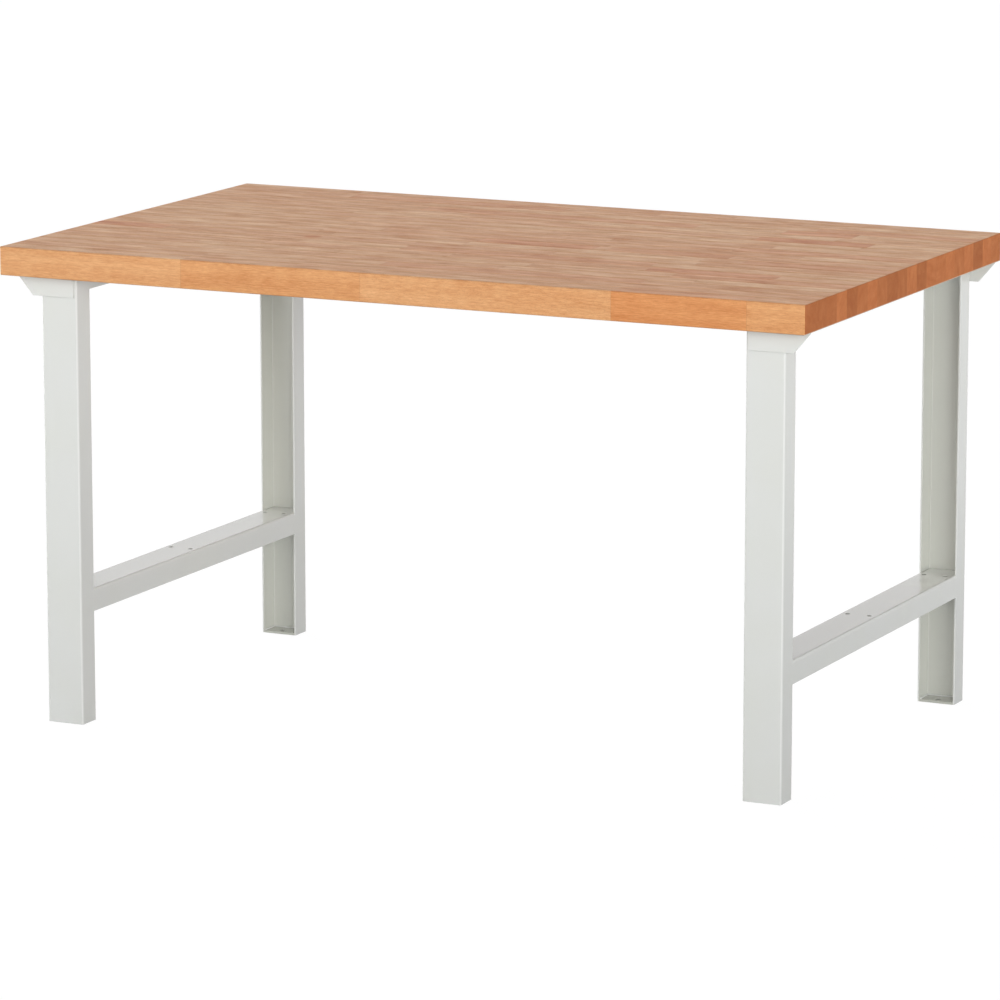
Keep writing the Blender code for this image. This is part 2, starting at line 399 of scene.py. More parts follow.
class Graph:
    """The node tree of one material or world."""

    def __init__(self, owner: bpy.types.Material | bpy.types.World) -> None:
        """Start with an empty tree."""
        owner.use_nodes = True
        self.owner = owner
        self.tree = owner.node_tree
        self.tree.nodes.clear()

    @classmethod
    def of_material(cls, name: str) -> "Graph":
        """Start an empty material."""
        return cls(bpy.data.materials.new(name))

    def node(self, kind: str, settings: dict | None = None, sockets: dict | None = None) -> bpy.types.Node:
        """Add a node.

        Args:
            kind: Its type.
            settings: Its settings by name, set first.
            sockets: Values or links of its inputs, by name or number.

        Returns:
            The node.
        """
        made = self.tree.nodes.new(kind)
        for key, value in (settings or {}).items():
            setattr(made, key, value)
        for key, value in (sockets or {}).items():
            if isinstance(value, Flow):
                self.tree.links.new(value.socket, made.inputs[key])
            elif isinstance(value, bpy.types.NodeSocket):
                self.tree.links.new(value, made.inputs[key])
            else:
                made.inputs[key].default_value = value
        return made

    def result(
        self,
        kind: str,
        settings: dict | None = None,
        sockets: dict | None = None,
        output: int | str = 0,
    ) -> Flow:
        """Add a node and return one of its outputs."""
        return Flow(self, self.node(kind, settings, sockets).outputs[output])

    def split(self, vector: Flow) -> tuple[Flow, Flow, Flow]:
        """Return the three parts of a vector."""
        made = self.node("ShaderNodeSeparateXYZ", {}, {0: vector})
        return tuple(Flow(self, socket) for socket in made.outputs)

    def vector(self, *parts: Flow | float) -> Flow:
        """Return a vector of three parts."""
        return self.result("ShaderNodeCombineXYZ", {}, dict(enumerate(parts)))

    def place(self) -> Flow:
        """Return the place on the piece, in the frame's metres."""
        return self.result("ShaderNodeTexCoord", output="Object")

    def facing(self) -> Flow:
        """Return the way that the surface faces, in the piece's own axes."""
        return self.result("ShaderNodeTexCoord", output="Normal")

    def attribute(self, name: str) -> Flow:
        """Return a vector that is stored on the mesh."""
        return self.result("ShaderNodeAttribute", {"attribute_name": name}, output="Vector")

    def noise(self, vector: Flow, scale: float = 1.0, detail: float = 0.0) -> Flow:
        """Return smooth noise between 0 and 1, with finer layers on top by its detail."""
        sockets = {"Vector": vector, "Scale": scale, "Detail": detail}
        return self.result("ShaderNodeTexNoise", {"noise_dimensions": "3D"}, sockets)

    def mix(self, amount: Flow | float, first: Flow | Colour, second: Flow | Colour) -> Flow:
        """Blend two colours, by the share of the second."""
        one, other = ((*c, 1.0) if isinstance(c, tuple) else c for c in (first, second))
        return self.result("ShaderNodeMix", {"data_type": "RGBA"}, {0: amount, 6: one, 7: other}, 2)

    def dim(self, colour: Flow, amount: Flow) -> Flow:
        """Scale a colour by a value."""
        return self.result("ShaderNodeVectorMath", {"operation": "SCALE"}, {0: colour, "Scale": amount})

    def soak(self, colour: Flow, amount: Flow) -> Flow:
        """Deepen a colour as soaked oil does, blue most and red least."""
        share = self.vector(*(1 - amount * part for part in SOAK))
        return self.result("ShaderNodeVectorMath", {"operation": "MULTIPLY"}, {0: colour, 1: share})

    def bump(self, height: Flow, depth: float, strength: float) -> Flow:
        """Return a normal disturbed by a height, whose one unit is a depth in metres."""
        return self.result(
            "ShaderNodeBump", {}, {"Strength": strength, "Distance": depth, "Height": height}
        )

    def blend(self, share: Flow, first: bpy.types.Node, second: bpy.types.Node) -> bpy.types.Node:
        """Mix two shaders, by the share of the second."""
        shaders = {1: first.outputs[0], 2: second.outputs[0]}
        return self.node("ShaderNodeMixShader", {}, {0: share, **shaders})

    def surface(
        self, sockets: dict, other: dict | None = None, share: Flow | None = None
    ) -> bpy.types.Material:
        """Close the graph with a Principled shader, or with a mix of two.

        Args:
            sockets: Values or links of its inputs by name.
            other: Inputs of the second shader that differ from the first's, if there is one.
            share: Share of the second shader.

        Returns:
            The material.
        """
        shader = self.node("ShaderNodeBsdfPrincipled", {}, sockets)
        if other is not None:
            second = self.node("ShaderNodeBsdfPrincipled", {}, {**sockets, **other})
            shader = self.blend(share, shader, second)
        self.node("ShaderNodeOutputMaterial", {}, {"Surface": shader.outputs[0]})
        return self.owner


# Vector stored on the faces of steel for painted shade: 1 in its parts on the walls of holes, inside a leg
# and on a foot plate
PAINTED_SHADE = "coat_cover"
# Vectors stored on the faces of a stave, one value for each length of timber in it
HEART = "length_heart"
TONE = "length_tone"
JOINTS = "length_joints"
GLUE_LINES = "length_glue_lines"


@dataclass(frozen=True)
class BeechFinish:
    """Oiled beech, figured in the round: rings about each length's own heart, rays across them."""

    pale: Colour = (0.715, 0.375, 0.162)
    honey: Colour = (0.658, 0.292, 0.102)
    russet: Colour = (0.635, 0.213, 0.050)
    late_wood: Colour = (0.420, 0.170, 0.058)
    ray: Colour = (0.395, 0.150, 0.052)
    knot_red: Colour = (0.560, 0.175, 0.030)
    end_grain: Colour = (0.474, 0.137, 0.036)
    # Painted highlight on the lower arris of the two ends, as if it caught the floor's light
    pale_edge: Colour = (0.800, 0.640, 0.500)
    ring_pitch: float = 0.0031
    ring_drift: float = 0.010
    ray_length: float = 0.0034
    ray_width: float = 0.00050
    # How far from the heart the rays have their width
    ray_radius: float = 0.08
    ray_depth: float = 0.0040
    glue_width: float = 0.00030
    oiled_edge: float = 0.0022
    # Where the ends, the top face and the underside of the block lie
    end_at: float = 0.750
    top_level: float = 0.840
    underside: float = 0.790
    knot: tuple[float, float] = (-0.318, -0.1125)
    knot_size: tuple[float, float] = (0.019, 0.017)
    roughness: float = 0.44
    film: float = 0.25
    film_roughness: float = 0.30
    end_specular: float = 0.15
    # How far a face turns along or up, between which it begins to count as an end or as flat and does
    end_turn: tuple[float, float] = (0.6, 0.9)
    flat_turn: tuple[float, float] = (0.5, 0.9)
    # Between which values late wood ends within its ring, and rays and blush rise out of their noise
    ring_fall: tuple[float, float] = (0.93, 1.0)
    ray_rise: tuple[float, float] = (0.60, 0.72)
    blush_rise: tuple[float, float] = (0.40, 0.70)
    # Share of each tint: blush over a length, late wood and how much more on the ends, rays, end grain
    blush_share: float = 0.10
    late_share: float = 0.14
    late_share_at_end: float = 0.22
    ray_share: float = 0.30
    end_share: float = 0.88
    # Share of the painted highlight on the lower arris of the ends
    pale_edge_share: float = 0.85
    end_depth: float = 0.24
    # Weight of each layer of the figure, and how much more clouds and broad swells weigh on flat faces
    band_weight: float = 0.40
    cloud_weight: float = 0.25
    flat_cloud_weight: float = 0.25
    flat_wide_weight: float = 0.75
    streak_weight: float = 0.45
    dash_weight: float = 0.35
    fibre_weight: float = 0.25
    # How much figure, glue and an oiled edge darken, and how much figure and a knot thin the film
    figure_dark: float = 0.42
    glue_dark: float = 0.30
    edge_dark: float = 0.16
    film_wander: float = 0.9
    knot_dry: float = 0.6
    # Relief of fibres, rays, late wood and glue lines, its depth in metres and its strength
    relief: tuple[float, float, float, float] = (0.6, -0.5, -0.4, -1.2)
    relief_depth: float = 0.00006
    relief_strength: float = 0.6
    # How much fibres, rays and the ends roughen the surface
    rough_fibre: float = 0.16
    rough_ray: float = 0.05
    rough_end: float = 0.12

    def material(self) -> bpy.types.Material:
        """Build the material.

        Returns:
            The material, which reads the vectors that the staves store.
        """
        g = Graph.of_material("oiled_beech")
        x, y, z = g.split(g.place())
        shift, heart_y, heart_z = g.split(g.attribute(HEART))
        depth_of_tone, redness, figure = g.split(g.attribute(TONE))
        along = x + shift
        across = y - heart_y
        above = z - heart_z
        face_x, _, face_z = g.split(g.facing())
        end = abs(face_x).step(*self.end_turn)
        flat = abs(face_z).step(*self.flat_turn)

        def grain(run: float, girth: float, detail: int = 2, own: bool = False) -> Flow:
            """Return noise drawn out along the grain, across it on the heart's axes or the bench's."""
            sides = (across, above) if own else (y, z)
            return g.noise(g.vector(along * run, *(side * girth for side in sides)), detail=detail)

        drift = grain(1.6, 16, own=True)
        radius = (across * across + above * above) ** 0.5 + (drift - 0.5) * self.ring_drift
        turn = above.maths("ARCTAN2", across)
        ring = (radius / self.ring_pitch).maths("FRACT")
        late = ring ** 3 * (1 - ring.step(*self.ring_fall))
        band = g.noise(g.vector(along * 2.2, radius * 75, turn * 2), detail=2) - 0.5
        cloud = grain(11, 62, own=True) - 0.5
        wide = grain(13, 45) - 0.5
        streak = grain(42, 420) - 0.5
        dash = grain(90, 700, detail=1) - 0.5
        fibre = grain(60, 1500)
        blush = grain(4, 24, detail=1, own=True).step(*self.blush_rise)
        spokes = turn * (self.ray_radius / self.ray_width)
        rays = g.noise(g.vector(along / self.ray_length, spokes, radius / self.ray_depth))
        rays = rays.step(*self.ray_rise)

        body = g.mix(depth_of_tone, self.pale, self.honey)
        body = g.mix((redness + blush * self.blush_share).least(1.0), body, self.russet)
        body = g.mix(late * (self.late_share + self.late_share_at_end * end), body, self.late_wood)
        body = g.mix(rays * figure * self.ray_share, body, self.ray)
        body = g.mix(end * self.end_share, body, self.end_grain)
        body = g.dim(body, 1 - end * (depth_of_tone - 0.5) * self.end_depth)

        glue = self.glue(g, x, y)
        edge = self.edge(z) * (1 - flat)
        wander = band * self.band_weight + cloud * (self.cloud_weight + flat * self.flat_cloud_weight)
        wander = wander + (streak * self.streak_weight + dash * self.dash_weight) * (1 - end)
        wander = wander + wide * flat * self.flat_wide_weight + (fibre - 0.5) * self.fibre_weight
        body = g.soak(body, wander)
        body = g.dim(body, 1 - wander * self.figure_dark - glue * self.glue_dark - edge * self.edge_dark)
        # Painted highlight: the lower arris of the ends turns pale, as if it caught the floor's light
        body = g.mix(self.low_arris(x, z) * self.pale_edge_share, body, self.pale_edge)
        knot = self.knot_spot(x, y)
        body = g.mix(knot, body, self.knot_red)
        film = (self.film - wander * self.film_wander) * (1 - knot * self.knot_dry)

        height = sum(part * share for part, share in zip((fibre, rays, late, glue), self.relief))
        rough = (fibre - 0.5) * self.rough_fibre + rays * self.rough_ray + end * self.rough_end
        return g.surface(
            {
                "Base Color": body,
                "Roughness": self.roughness + rough,
                "Normal": g.bump(height, depth=self.relief_depth, strength=self.relief_strength),
                "Coat Weight": film.most(0.0) * (1 - end),
                "Coat Roughness": self.film_roughness,
            },
            {"Specular IOR Level": self.end_specular},
            end,
        )

    def edge(self, z: Flow) -> Flow:
        """Return how close a side lies to an arris, where the oil soaks in: 1 there, 0 away from it."""
        return 1 - abs(z - self.top_level).least(abs(z - self.underside)).step(
            self.oiled_edge * 0.4, self.oiled_edge
        )

    def low_arris(self, x: Flow, z: Flow) -> Flow:
        """Return where the lower arris of the two ends runs, with a painted highlight: 1 on it and 0 away
        from it.
        """
        rim = abs(x).step(self.end_at - self.oiled_edge, self.end_at - self.oiled_edge * 0.5)
        return rim * (1 - (z - self.underside).step(self.oiled_edge * 0.4, self.oiled_edge))

    def knot_spot(self, x: Flow, y: Flow) -> Flow:
        """Return where the one pin knot lies: 1 in its middle and 0 outside it."""
        pairs = zip((x, y), self.knot, self.knot_size)
        along, across = (abs((value - spot) / size) ** 2 for value, spot, size in pairs)
        return 1 - (along + across).step(0.2, 1.2)

    def glue(self, g: Graph, x: Flow, y: Flow) -> Flow:
        """Return where the fine lines between lengths and staves run.

        Args:
            g: The graph.
            x: Place along the bench.
            y: Place across it.

        Returns:
            1 on a line and 0 beside it.
        """
        start, stop, _ = g.split(g.attribute(JOINTS))
        front, back, _ = g.split(g.attribute(GLUE_LINES))
        nearest = abs(x - start).least(abs(x - stop))
        nearest = nearest.least(abs(y - front)).least(abs(y - back))
        return 1 - nearest.step(self.glue_width * 0.3, self.glue_width)


@dataclass(frozen=True)
class PowderCoatFinish:
    """Light grey powder coat, semi-gloss, with the fine orange peel that it cures to.

    It carries a painted highlight along its folds, and painted shade inside the legs, on the foot plates
    and, darker still, in the bores.
    """

    grey: Colour = (0.693, 0.707, 0.684)
    thin_grey: Colour = (0.668, 0.684, 0.636)
    # Painted highlight along folds, rounded edges and beads
    fold_grey: Colour = (0.820, 0.832, 0.808)
    # Painted shade inside the leg channels
    inner_grey: Colour = (0.672, 0.682, 0.630)
    # Painted shade over the whole foot plate, which sits low inside the leg
    plate_grey: Colour = (0.470, 0.482, 0.430)
    # Painted shade on the walls of the holes
    bore_grey: Colour = (0.300, 0.310, 0.280)
    roughness: float = 0.26
    gloss: float = 1.0
    gloss_roughness: float = 0.04
    peel_pitch: float = 0.0022
    peel_depth: float = 0.000010
    # How far the surface turns from the axes where the painted highlight of folds, rounded edges and beads
    # begins, and where it is brightest
    fold_turn: tuple[float, float] = (0.06, 0.24)
    thin_patches: tuple[float, float] = (0.30, 0.80)
    thin_share: float = 0.5
    # Swells of the patches per metre, how much the peel's grit darkens, and how much both roughen
    patches: float = 9.0
    grit_dark: float = 0.03
    rough_patch: float = 0.04
    rough_grit: float = 0.05

    def material(self) -> bpy.types.Material:
        """Build the material.

        Returns:
            The material.
        """
        g = Graph.of_material("grey_powder_coat")
        place = g.place()
        peel = g.noise(place, scale=1 / self.peel_pitch, detail=1)
        grit = g.noise(place, scale=4 / self.peel_pitch, detail=1)
        cloud = g.noise(place, scale=self.patches, detail=1)
        colour = g.mix(cloud.step(*self.thin_patches) * self.thin_share, self.grey, self.thin_grey)
        colour = g.dim(colour, 1 - (grit - 0.5) * self.grit_dark)
        face_x, face_y, face_z = (1 - abs(part) for part in g.split(g.facing()))
        turned = face_x.least(face_y).least(face_z)
        # Painted highlight where the surface turns between the axes, at folds, rounded edges and beads
        colour = g.mix(turned.step(*self.fold_turn), colour, self.fold_grey)
        # Painted shade: darker coat on the walls of holes, inside the legs and on the foot plates
        bore, inside, plate = g.split(g.attribute(PAINTED_SHADE))
        for share, grey in ((inside, self.inner_grey), (plate, self.plate_grey), (bore, self.bore_grey)):
            colour = g.mix(share, colour, grey)
        rough = (cloud - 0.5) * self.rough_patch + (grit - 0.5) * self.rough_grit
        return g.surface(
            {
                "Base Color": colour,
                "Roughness": self.roughness + rough,
                "Normal": g.bump(peel, depth=self.peel_depth, strength=1.0),
                "Coat Weight": self.gloss,
                "Coat Roughness": self.gloss_roughness,
            }
        )


@dataclass(frozen=True)
class ZincFinish:
    """Bright zinc plating over a forged and rolled screw."""

    bright: Colour = (0.720, 0.735, 0.740)
    dull: Colour = (0.520, 0.540, 0.555)
    roughness: float = 0.30
    # Swells of spangle and scuffs per metre, where spangle turns dull, and how much scuffs roughen
    spangles: float = 900.0
    scuffs: float = 260.0
    dull_rise: tuple[float, float] = (0.35, 0.70)
    rough_scuff: float = 0.2
    spangle_depth: float = 0.00001

    def material(self) -> bpy.types.Material:
        """Build the material.

        Returns:
            The material.
        """
        g = Graph.of_material("zinc_plate")
        place = g.place()
        spangle = g.noise(place, scale=self.spangles, detail=2)
        scuff = g.noise(place, scale=self.scuffs, detail=1)
        colour = g.mix(spangle.step(*self.dull_rise), self.bright, self.dull)
        return g.surface(
            {
                "Base Color": colour,
                "Metallic": 1.0,
                "Roughness": self.roughness + (scuff - 0.5) * self.rough_scuff,
                "Normal": g.bump(spangle, depth=self.spangle_depth, strength=0.5),
            }
        )


class Shade(Enum):
    """Tone of a length of beech: how far it leans to honey, and how far to russet."""

    PALE = (0.00, 0.00)
    STRAW = (0.33, 0.02)
    HONEY = (0.70, 0.05)
    GINGER = (0.85, 0.46)
    AMBER = (1.00, 0.42)
    RUSSET = (1.00, 0.80)


@dataclass(frozen=True)
class Length:
    """One length of timber in a stave, with its ends measured from the bench's left end."""

    start: float
    stop: float
    shade: Shade


# Lengths that stand out, by the number of their stave from the front
NOTABLE: dict[int, tuple[Length, ...]] = {
    1: (
        Length(0.000, 0.355, Shade.STRAW),
        Length(0.355, 0.697, Shade.HONEY),
        Length(0.697, 1.157, Shade.STRAW),
        Length(1.157, 1.398, Shade.GINGER),
        Length(1.398, 1.500, Shade.HONEY),
    ),
    3: (Length(0.685, 1.165, Shade.AMBER),),
    4: (Length(1.240, 1.500, Shade.PALE),),
    5: (Length(1.180, 1.500, Shade.AMBER),),
    6: (Length(1.115, 1.350, Shade.RUSSET),),
    7: (Length(0.635, 1.105, Shade.AMBER),),
    8: (Length(0.000, 0.145, Shade.RUSSET),),
    9: (Length(0.710, 1.155, Shade.PALE), Length(1.230, 1.500, Shade.AMBER)),
    10: (Length(0.715, 0.935, Shade.RUSSET), Length(0.960, 1.190, Shade.AMBER)),
    12: (Length(1.160, 1.500, Shade.AMBER),),
    14: (Length(0.990, 1.350, Shade.PALE),),
    15: (Length(0.360, 0.575, Shade.PALE), Length(1.140, 1.355, Shade.RUSSET)),
    17: (Length(0.450, 0.990, Shade.AMBER), Length(1.155, 1.290, Shade.RUSSET)),
    18: (Length(0.430, 0.990, Shade.PALE), Length(1.200, 1.500, Shade.AMBER)),
    19: (Length(0.260, 0.690, Shade.AMBER), Length(0.870, 1.150, Shade.HONEY)),
}


@dataclass
class BlockTop:
    """The block top: staves side by side, each of several lengths joined end to end."""

    low: Vector = field(init=False)
    high: Vector = field(init=False)
    count: int = field(init=False)

    joint_gap: float = 0.00003
    arris: float = 0.0015
    arris_segments: int = 4
    shortest: float = 0.20
    longest: float = 0.52
    # Between which a length's place along the grain and the distance of its heart are drawn
    start_range: tuple[float, float] = (5, 60)
    heart_range: tuple[float, float] = (0.035, 0.140)
    tone_spread: float = 0.16
    redness_spread: float = 0.05
    least_figure: float = 0.55
    seed: int = 11

    def build(self, beech: bpy.types.Material) -> None:
        """Build and dress all staves.

        Args:
            beech: The material of the wood.
        """
        dice = random.Random(self.seed)
        nodes = sorted(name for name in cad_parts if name.startswith("stave_"))
        corners = [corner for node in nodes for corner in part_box(node)]
        self.low = Vector([min(corner[axis] for corner in corners) for axis in range(3)])
        self.high = Vector([max(corner[axis] for corner in corners) for axis in range(3)])
        self.count = len(nodes)
        for number, node in enumerate(nodes, start=1):
            lengths = self.cut_list(number, dice)
            stave = self.stave(f"beech_{node}", number, lengths)
            self.mark(stave, number, lengths, dice)
            stave.hand_over(beech, Slot.BEECH, node)

    def glue_line(self, number: int) -> float:
        """Return where the back of a stave lies, or the front of the next."""
        return self.low.y + (self.high.y - self.low.y) / self.count * number

    def cut_list(self, number: int, dice: random.Random) -> list[Length]:
        """Fill the run of a stave with lengths, round those that stand out.

        Args:
            number: Number of the stave from the front.
            dice: Where chance comes from.

        Returns:
            Its lengths from left to right.
        """
        plain = (Shade.STRAW, Shade.STRAW, Shade.HONEY, Shade.HONEY, Shade.PALE)
        run = self.high.x - self.low.x
        lengths = []
        reached = 0.0
        for fixed in (*NOTABLE.get(number, ()), Length(run, run, Shade.STRAW)):
            while fixed.start - reached > self.longest:
                stop = reached + dice.uniform(self.shortest, self.longest)
                stop = min(stop, fixed.start - self.shortest)
                lengths.append(Length(reached, stop, dice.choice(plain)))
                reached = stop
            if fixed.start > reached:
                lengths.append(Length(reached, fixed.start, dice.choice(plain)))
            if fixed.stop > fixed.start:
                lengths.append(fixed)
            reached = fixed.stop
        return lengths

    def stave(self, name: str, number: int, lengths: list[Length]) -> Workpiece:
        """Model one stave, cut where its lengths meet, with the top's arrises rounded.

        Args:
            name: Name of the piece.
            number: Number of the stave from the front.
            lengths: The lengths of timber in it.

        Returns:
            The stave.
        """
        low, high = self.low, self.high
        front = self.glue_line(number - 1) + (self.joint_gap / 2 if number > 1 else 0)
        back = self.glue_line(number) - (self.joint_gap / 2 if number < self.count else 0)
        piece = Workpiece.block(name, Vector((low.x, front, low.z)), Vector((high.x, back, high.z)))

        def on_rim(one: Vector, other: Vector) -> bool:
            """Tell whether an edge lies on an outer arris of the top."""
            at_end = all(min(abs(co.x - low.x), abs(co.x - high.x)) < TOUCH for co in (one, other))
            at_side = all(min(abs(co.y - low.y), abs(co.y - high.y)) < TOUCH for co in (one, other))
            level = abs(one.z - other.z) < TOUCH
            return (at_end and (level or at_side)) or (at_side and abs(one.x - other.x) > self.arris)

        with piece.shaping("EDGE"):
            piece.pick_edges(on_rim)
            bpy.ops.mesh.bevel(offset=self.arris, segments=self.arris_segments, profile=0.5)
            for joint in lengths[1:]:
                piece.bisect(Vector((low.x + joint.start, 0, 0)), Vector((1, 0, 0)))
        piece.smooth()
        return piece

    def mark(self, stave: Workpiece, number: int, lengths: list[Length], dice: random.Random) -> None:
        """Store on the faces of a stave what its finish reads of each length.

        Args:
            stave: The stave.
            number: Its number from the front.
            lengths: The lengths of timber in it.
            dice: Where chance comes from.
        """
        left = self.low.x
        front, back = self.glue_line(number - 1), self.glue_line(number)
        lines = (front if number > 1 else NOWHERE, back if number < self.count else NOWHERE, 0.0)
        marks = []
        for piece in lengths:
            turn = dice.uniform(0, 2 * math.pi)
            distance = dice.uniform(*self.heart_range)
            heart = (
                dice.uniform(*self.start_range),
                (front + back) / 2 + distance * math.cos(turn),
                (self.low.z + self.high.z) / 2 + distance * math.sin(turn),
            )
            honey, russet = piece.shade.value
            tone = (
                min(1.0, max(0.0, honey + dice.uniform(-self.tone_spread, self.tone_spread))),
                max(0.0, russet + dice.uniform(-self.redness_spread, self.redness_spread)),
                dice.uniform(self.least_figure, 1.0),
            )
            joints = (
                NOWHERE if piece is lengths[0] else left + piece.start,
                NOWHERE if piece is lengths[-1] else left + piece.stop,
                0.0,
            )
            marks.append({HEART: heart, TONE: tone, JOINTS: joints, GLUE_LINES: lines})

        def of_length(face: bpy.types.MeshPolygon) -> dict[str, Place]:
            """Return the marks of the length that a face belongs to."""
            place = face.center.x - left
            return next((mark for mark, piece in zip(marks, lengths) if place < piece.stop), marks[-1])

        for key in (HEART, TONE, JOINTS, GLUE_LINES):
            stave.store(key, lambda face: of_length(face)[key])


@dataclass
class SteelFrame:
    """One welded frame: two legs with foot plates and wing plates, a low rail and a carrier."""

    side: Side
    sheet: float = 0.003
    bend: float = 0.005
    bend_segments: int = 10
    edge: float = 0.0005
    carrier_edge: float = 0.0003
    rail_hole: float = 0.009
    rail_hole_spacing: float = 0.040
    rail_hole_setback: float = 0.015
    carrier_hole: float = 0.0075
    foot_hole: float = 0.010
    foot_hole_setback: float = 0.013
    foot_corner: float = 0.003
    foot_corner_segments: int = 6
    wing_foot: float = 0.030
    wing_land: float = 0.002
    bead: float = 0.0022
    bead_sides: int = 12
    bead_setback: float = 0.004
    ripple_pitch: float = 0.0016
    # Width of the bead between its ripples, and at its ends
    waist: float = 0.86
    tip: float = 0.35
    weld_crown: float = 0.00008
    weld_width: float = 0.0032

    def node(self, part: str, end: End | None = None) -> str:
        """Return the name of one of this frame's nodes."""
        return "_".join(word for word in (self.side.label, end and end.label, part) if word)

    def box(self, part: str, end: End | None = None) -> tuple[Vector, ...]:
        """Return the lowest and the highest corner of one of this frame's nodes."""
        return tuple(Vector(corner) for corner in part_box(self.node(part, end)))

    def leg_line(self, end: End) -> float:
        """Return where the open side of a leg lies in y."""
        low, high = self.box("leg", end)
        return high.y if end is End.FRONT else low.y

    def build(self, coat: bpy.types.Material) -> None:
        """Build and dress the whole frame.

        Args:
            coat: The powder coat.
        """
        patterns = (("leg", "leg_channel", self.leg()), ("foot_plate", "foot_plate_sole", self.foot_plate()))
        for end in End:
            for part, name, pattern in patterns:
                piece = self.in_place(pattern, self.node(name, end), part, end)
                piece.hand_over(coat, Slot.POWDER_COAT, self.node(part, end))
            self.wing(end).hand_over(coat, Slot.POWDER_COAT, self.node("wing_plate", end))
            self.foot_welds(end).hand_over(coat, Slot.POWDER_COAT)
            self.wing_weld(end).hand_over(coat, Slot.POWDER_COAT)
        for *_, pattern in patterns:
            bpy.data.objects.remove(pattern.thing)
        self.rail().hand_over(coat, Slot.POWDER_COAT, self.node("rail"))
        self.carrier().hand_over(coat, Slot.POWDER_COAT, self.node("carrier"))
        for part in ("rail", "carrier"):
            self.flush_welds(part).hand_over(coat, Slot.POWDER_COAT)

    def in_place(self, pattern: Workpiece, name: str, part: str, end: End) -> Workpiece:
        """Copy a front piece to its node, turned half round at the back.

        Args:
            pattern: The piece modelled at the front.
            name: Name of the copy.
            part: What the node is called after its end.
            end: Which end of the frame the copy is for.

        Returns:
            The copy.
        """
        front_middle = middle(self.box(part, End.FRONT))
        offset = middle(self.box(part, end)) - front_middle
        offset.z = 0
        return pattern.copy(name, offset, front_middle if end is End.BACK else None)

    def fold(self, piece: Workpiece, folds: list[float], flange: Vector) -> None:
        """Fold flanges out of a flat web.

        Args:
            piece: The web, without thickness.
            folds: Where the folds run, in x.
            flange: How far the flanges reach, and which way.
        """
        away = flange.normalized()
        web = piece.thing.data.vertices[0].co.dot(away)

        def on_fold(co: Vector) -> bool:
            """Tell whether a point lies on a fold."""
            return min(abs(co.x - fold) for fold in folds) < TOUCH and abs(co.dot(away) - web) < TOUCH

        def along_fold(one: Vector, other: Vector) -> bool:
            """Tell whether an edge runs along a fold."""
            return on_fold(one) and on_fold(other) and abs(one.x - other.x) < TOUCH

        with piece.shaping("EDGE"):
            piece.pick_edges(along_fold)
            piece.extrude(flange)
            piece.pick_edges(along_fold)
            bpy.ops.mesh.bevel(offset=self.bend, segments=self.bend_segments, profile=0.5)

    def leg(self) -> Workpiece:
        """Model the front leg: a channel folded from sheet, open to the back.

        Returns:
            The leg.
        """
        low, high = self.box("leg", End.FRONT)
        height = high.z - low.z + SEAT
        centre = Vector(((low.x + high.x) / 2, low.y, low.z + height / 2))
        piece = Workpiece.sheet("leg_pattern", centre, high.x - low.x, height, math.pi / 2)
        self.fold(piece, [low.x, high.x], Vector((0, high.y - low.y, 0)))
        self.thicken(piece, Vector((0, -1, 0)))
        piece.round_edges(self.edge)
        depth = self.sheet * 0.7

        def cover(face: bpy.types.MeshPolygon) -> Place:
            """Mark the faces inside the channel, which get painted shade."""
            x, y, _ = face.center
            return (0.0, float(low.x + depth < x < high.x - depth and y > low.y + depth), 0.0)

        piece.store(PAINTED_SHADE, cover)
        return piece

    def thicken(self, piece: Workpiece, outward: Vector) -> None:
        """Give a folded sheet its thickness on the inside of its bends.

        Args:
            piece: The sheet.
            outward: The way that its web faces.
        """
        piece.face_out()
        widest = max(piece.thing.data.polygons, key=lambda face: abs(face.normal.dot(outward)) * face.area)
        if widest.normal.dot(outward) < 0:
            with piece.shaping("FACE"):
                bpy.ops.mesh.select_all(action="SELECT")
                bpy.ops.mesh.flip_normals()
        piece.apply("SOLIDIFY", thickness=self.sheet, offset=-1.0, use_even_offset=True)
        piece.face_out()

    def flange_sides(self, part: str) -> tuple[int, ...]:
        """Return on which sides in x a carrier or rail has flanges."""
        return (-self.side.value,) if part == "carrier" else (-1, 1)

    def cross_channel(self, name: str, part: str) -> Workpiece:
        """Model a channel or angle across the frame, open below, whose web runs on into both legs.

        Args:
            name: Name of the piece.
            part: The node's last word, rail or carrier.

        Returns:
            The channel, before its holes.
        """
        low, high = self.box(part)
        top = high.z + (SEAT if part == "carrier" else 0)
        front, back = (self.leg_line(end) for end in End)
        centre = Vector(((low.x + high.x) / 2, (front + back) / 2, top))
        piece = Workpiece.sheet(name, centre, high.x - low.x, back - front, 0.0)
        folds = [high.x if way > 0 else low.x for way in self.flange_sides(part)]
        self.fold(piece, folds, Vector((0, 0, low.z - top)))
        if len(folds) == 1:
            with piece.shaping("FACE"):
                outer = low.x + high.x - folds[0]
                piece.bisect(Vector((outer - self.side.value * self.bend, 0, 0)), Vector((1, 0, 0)))
        inside = (high.x - low.x) / 2 - self.bend + TOUCH

        def at_mouth(co: Vector, line: float) -> bool:
            """Tell whether a point lies on the flat of the web, where it enters a leg."""
            return abs(co.y - line) < TOUCH and abs(co.x - centre.x) < inside and abs(co.z - top) < TOUCH

        for line, tongue in ((front, low.y - SEAT - front), (back, high.y + SEAT - back)):
            with piece.shaping("EDGE"):
                piece.pick_edges(lambda one, other: at_mouth(one, line) and at_mouth(other, line))
                piece.extrude((0, tongue, 0))
        self.thicken(piece, Vector((0, 0, 1)))
        return piece

